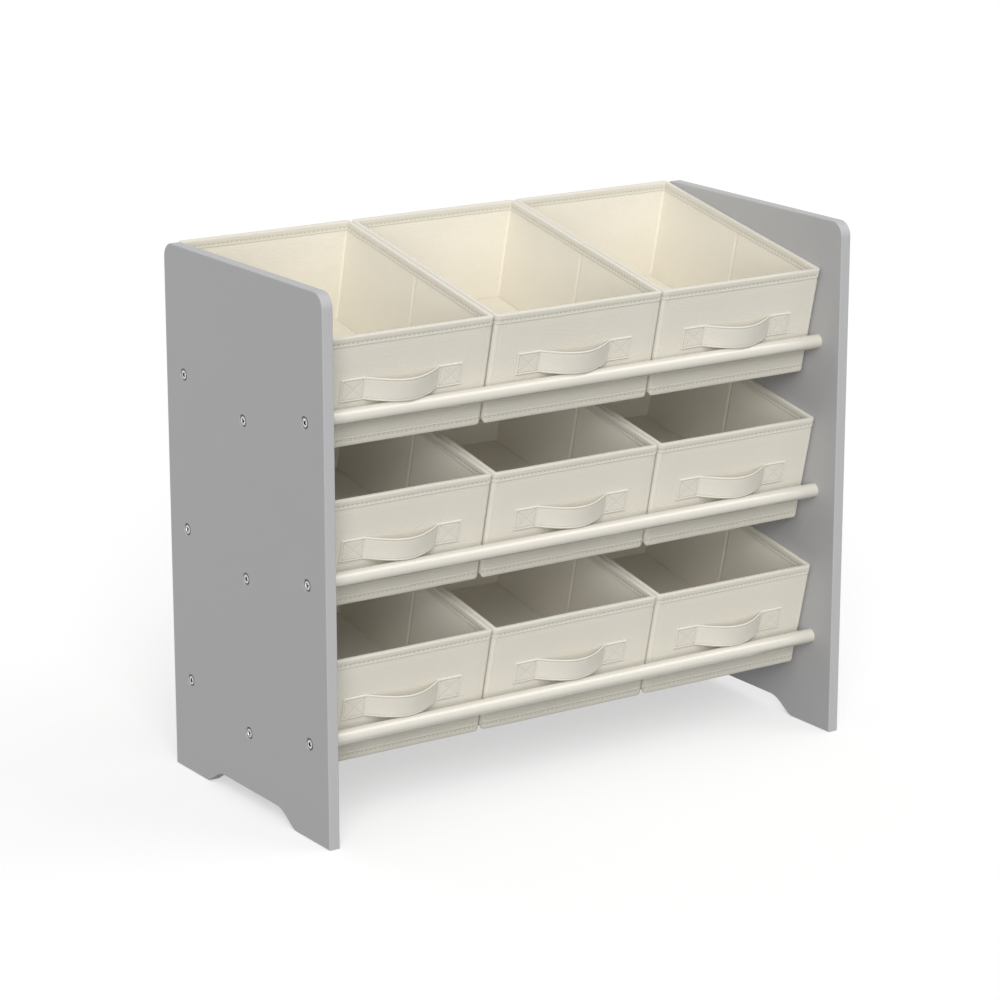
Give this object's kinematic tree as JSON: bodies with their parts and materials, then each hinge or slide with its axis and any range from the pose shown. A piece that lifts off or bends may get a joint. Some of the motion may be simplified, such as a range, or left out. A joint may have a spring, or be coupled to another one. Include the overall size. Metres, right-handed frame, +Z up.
{
  "type": "toy shelf",
  "caption": "Low open toy shelf: sloping rows of soft fabric storage bins with strap handles, carried on round tubes between two side panels with rounded corners.",
  "frame": {"origin": "on the floor, under the middle of the object's box", "axes": "+X to the right seen from the front, -Y towards the front where the bins' handles are, +Z up"},
  "size_m": [0.632, 0.3298, 0.55],
  "materials": {
    "panel_paint": "satin grey paint on fibreboard",
    "tube_enamel": "glossy cream powder coat",
    "plug_plastic": "moulded",
    "screw_steel": "zinc plated",
    "bin_cloth": "non-woven cloth with a fine diagonal emboss",
    "binding_tape": "folded tape with a line of stitching",
    "strap_cloth": "folded and stitched strap",
    "wall_board": "raw grey-brown board",
    "base_board": "board covered in the bin's cloth"
  },
  "bodies": {
    "frame": {"left_panel": "panel_paint", "right_panel": "panel_paint", "left_plugs": "plug_plastic", "right_plugs": "plug_plastic", "left_screws": "screw_steel", "right_screws": "screw_steel", "upper_front_tube": "tube_enamel", "upper_centre_tube": "tube_enamel", "upper_rear_tube": "tube_enamel", "middle_front_tube": "tube_enamel", "middle_centre_tube": "tube_enamel", "middle_rear_tube": "tube_enamel", "lower_front_tube": "tube_enamel", "lower_centre_tube": "tube_enamel", "lower_rear_tube": "tube_enamel"},
    "upper_left_bin": {"upper_left_bin_shell": "bin_cloth", "upper_left_bin_binding": "binding_tape", "upper_left_bin_handle": "strap_cloth", "upper_left_bin_boards": "wall_board", "upper_left_bin_base": "base_board"},
    "upper_centre_bin": {"upper_centre_bin_shell": "bin_cloth", "upper_centre_bin_binding": "binding_tape", "upper_centre_bin_handle": "strap_cloth", "upper_centre_bin_boards": "wall_board", "upper_centre_bin_base": "base_board"},
    "upper_right_bin": {"upper_right_bin_shell": "bin_cloth", "upper_right_bin_binding": "binding_tape", "upper_right_bin_handle": "strap_cloth", "upper_right_bin_boards": "wall_board", "upper_right_bin_base": "base_board"},
    "middle_left_bin": {"middle_left_bin_shell": "bin_cloth", "middle_left_bin_binding": "binding_tape", "middle_left_bin_handle": "strap_cloth", "middle_left_bin_boards": "wall_board", "middle_left_bin_base": "base_board"},
    "middle_centre_bin": {"middle_centre_bin_shell": "bin_cloth", "middle_centre_bin_binding": "binding_tape", "middle_centre_bin_handle": "strap_cloth", "middle_centre_bin_boards": "wall_board", "middle_centre_bin_base": "base_board"},
    "middle_right_bin": {"middle_right_bin_shell": "bin_cloth", "middle_right_bin_binding": "binding_tape", "middle_right_bin_handle": "strap_cloth", "middle_right_bin_boards": "wall_board", "middle_right_bin_base": "base_board"},
    "lower_left_bin": {"lower_left_bin_shell": "bin_cloth", "lower_left_bin_binding": "binding_tape", "lower_left_bin_handle": "strap_cloth", "lower_left_bin_boards": "wall_board", "lower_left_bin_base": "base_board"},
    "lower_centre_bin": {"lower_centre_bin_shell": "bin_cloth", "lower_centre_bin_binding": "binding_tape", "lower_centre_bin_handle": "strap_cloth", "lower_centre_bin_boards": "wall_board", "lower_centre_bin_base": "base_board"},
    "lower_right_bin": {"lower_right_bin_shell": "bin_cloth", "lower_right_bin_binding": "binding_tape", "lower_right_bin_handle": "strap_cloth", "lower_right_bin_boards": "wall_board", "lower_right_bin_base": "base_board"}
  },
  "joints": [
    {"name": "upper_left_bin_lift", "type": "slide", "parent": "frame", "child": "upper_left_bin", "axis": [0, -0.2279, 0.9737], "range_m": [0, 0.18]},
    {"name": "upper_centre_bin_lift", "type": "slide", "parent": "frame", "child": "upper_centre_bin", "axis": [0, -0.2279, 0.9737], "range_m": [0, 0.18]},
    {"name": "upper_right_bin_lift", "type": "slide", "parent": "frame", "child": "upper_right_bin", "axis": [0, -0.2279, 0.9737], "range_m": [0, 0.18]},
    {"name": "middle_left_bin_tip", "type": "hinge", "parent": "frame", "child": "middle_left_bin", "pos_m": [-0.20267, 0.10517, 0.2595], "axis": [-1, 0, 0], "range_deg": [0, 11]},
    {"name": "middle_centre_bin_tip", "type": "hinge", "parent": "frame", "child": "middle_centre_bin", "pos_m": [0, 0.10517, 0.2595], "axis": [-1, 0, 0], "range_deg": [0, 11]},
    {"name": "middle_right_bin_tip", "type": "hinge", "parent": "frame", "child": "middle_right_bin", "pos_m": [0.20267, 0.10517, 0.2595], "axis": [-1, 0, 0], "range_deg": [0, 11]},
    {"name": "lower_left_bin_tip", "type": "hinge", "parent": "frame", "child": "lower_left_bin", "pos_m": [-0.20267, 0.10517, 0.099], "axis": [-1, 0, 0], "range_deg": [0, 11]},
    {"name": "lower_centre_bin_tip", "type": "hinge", "parent": "frame", "child": "lower_centre_bin", "pos_m": [0, 0.10517, 0.099], "axis": [-1, 0, 0], "range_deg": [0, 11]},
    {"name": "lower_right_bin_tip", "type": "hinge", "parent": "frame", "child": "lower_right_bin", "pos_m": [0.20267, 0.10517, 0.099], "axis": [-1, 0, 0], "range_deg": [0, 11]}
  ]
}
